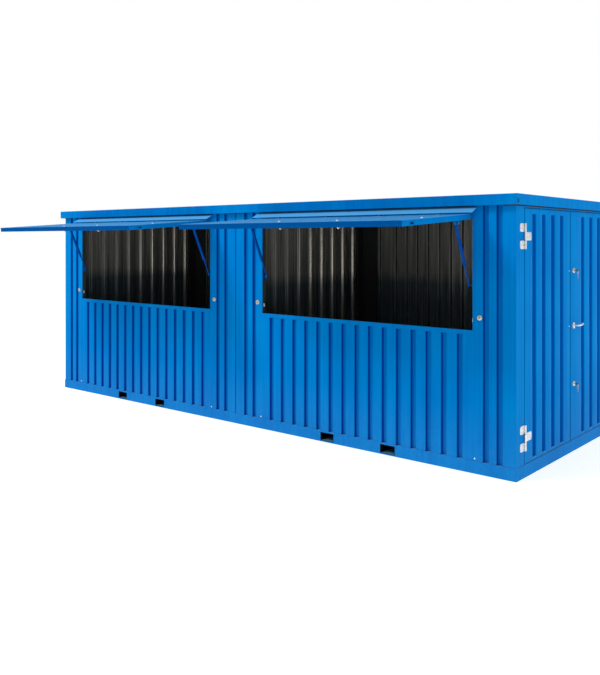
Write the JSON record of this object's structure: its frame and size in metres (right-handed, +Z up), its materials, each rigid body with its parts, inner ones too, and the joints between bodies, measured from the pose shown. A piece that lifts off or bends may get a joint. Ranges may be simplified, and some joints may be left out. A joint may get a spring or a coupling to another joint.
{
  "type": "container bar",
  "caption": "Container bar of joined flat-pack steel units with grooved walls, serving hatches held up by gas struts, drip flashings and a double end door.",
  "frame": {"origin": "centre of the pair's footprint, on the ground, in the seam between the units", "axes": "+X along the pair to the door end, -Y out of the front with the hatches, +Z up"},
  "size_m": [6.079, 3.3025, 2.2],
  "materials": {
    "blue_steel": "blue coated steel sheet",
    "zinc": "galvanised steel",
    "strut_tube": "blue painted tube",
    "floor_board": "plain board"
  },
  "bodies": {
    "units": {"left_base_frame": "blue_steel", "right_base_frame": "blue_steel", "left_fork_tubes": "blue_steel", "right_fork_tubes": "blue_steel", "left_floor": "floor_board", "right_floor": "floor_board", "left_corner_posts": "blue_steel", "right_corner_posts": "blue_steel", "left_side_panels": "blue_steel", "right_side_panels": "blue_steel", "left_lower_wall": "blue_steel", "right_lower_wall": "blue_steel", "left_header": "blue_steel", "right_header": "blue_steel", "left_lining": "blue_steel", "right_lining": "blue_steel", "left_back_wall": "blue_steel", "right_back_wall": "blue_steel", "left_roof": "blue_steel", "right_roof": "blue_steel", "left_flashing": "blue_steel", "right_flashing": "blue_steel", "left_end_wall": "blue_steel", "left_party_wall": "blue_steel", "right_party_wall": "blue_steel", "door_header": "blue_steel", "hatch_hinges": "zinc", "strut_plates": "zinc", "hatch_locks": "zinc", "door_post_hinges": "zinc"},
    "left_hatch": {"left_hatch_frame": "blue_steel", "left_hatch_skin": "blue_steel"},
    "right_hatch": {"right_hatch_frame": "blue_steel", "right_hatch_skin": "blue_steel"},
    "left_rods": {"left_strut_rods": "zinc"},
    "right_rods": {"right_strut_rods": "zinc"},
    "left_tubes": {"left_strut_tubes": "strut_tube"},
    "right_tubes": {"right_strut_tubes": "strut_tube"},
    "front_leaf": {"front_door_leaf": "blue_steel", "front_leaf_hinges": "zinc"},
    "rear_leaf": {"rear_door_leaf": "blue_steel", "rear_leaf_hinges": "zinc", "door_locks": "zinc"},
    "lever": {"door_lever": "zinc"}
  },
  "joints": [
    {"name": "left_hatch_hinge", "type": "hinge", "parent": "units", "child": "left_hatch", "pos_m": [-1.5, -1.148, 2.052], "axis": [1, 0, 0], "range_deg": [0, 86]},
    {"name": "left_strut_swing", "type": "hinge", "parent": "units", "child": "left_rods", "pos_m": [-1.5, -1.075, 1.485], "axis": [1, 0, 0], "range_deg": [-23.18, 0]},
    {"name": "left_strut_slide", "type": "slide", "parent": "left_rods", "child": "left_tubes", "axis": [0, -0.4128, 0.9108], "range_m": [-0.1288, 0]},
    {"name": "right_hatch_hinge", "type": "hinge", "parent": "units", "child": "right_hatch", "pos_m": [1.5, -1.148, 2.052], "axis": [1, 0, 0], "range_deg": [0, 86]},
    {"name": "right_strut_swing", "type": "hinge", "parent": "units", "child": "right_rods", "pos_m": [1.5, -1.075, 1.485], "axis": [1, 0, 0], "range_deg": [-23.18, 0]},
    {"name": "right_strut_slide", "type": "slide", "parent": "right_rods", "child": "right_tubes", "axis": [0, -0.4128, 0.9108], "range_m": [-0.1288, 0]},
    {"name": "front_door_hinge", "type": "hinge", "parent": "units", "child": "front_leaf", "pos_m": [3.004, -0.945, 0.3], "axis": [0, 0, -1], "range_deg": [0, 180]},
    {"name": "rear_door_hinge", "type": "hinge", "parent": "units", "child": "rear_leaf", "pos_m": [3.004, 0.945, 0.3], "axis": [0, 0, 1], "range_deg": [0, 180]},
    {"name": "lever_turn", "type": "hinge", "parent": "rear_leaf", "child": "lever", "pos_m": [2.999, 0.075, 1.098], "axis": [-1, 0, 0], "range_deg": [0, 40], "stiffness_Nm_per_rad": 1, "springref_deg": -28.65}
  ],
  "couplings": [
    {"joint": "left_strut_swing", "follows": "left_hatch_hinge", "ratio": -0.26897},
    {"joint": "left_strut_slide", "follows": "left_hatch_hinge", "m_per_rad": -0.085583},
    {"joint": "right_strut_swing", "follows": "right_hatch_hinge", "ratio": -0.26897},
    {"joint": "right_strut_slide", "follows": "right_hatch_hinge", "m_per_rad": -0.085583}
  ]
}
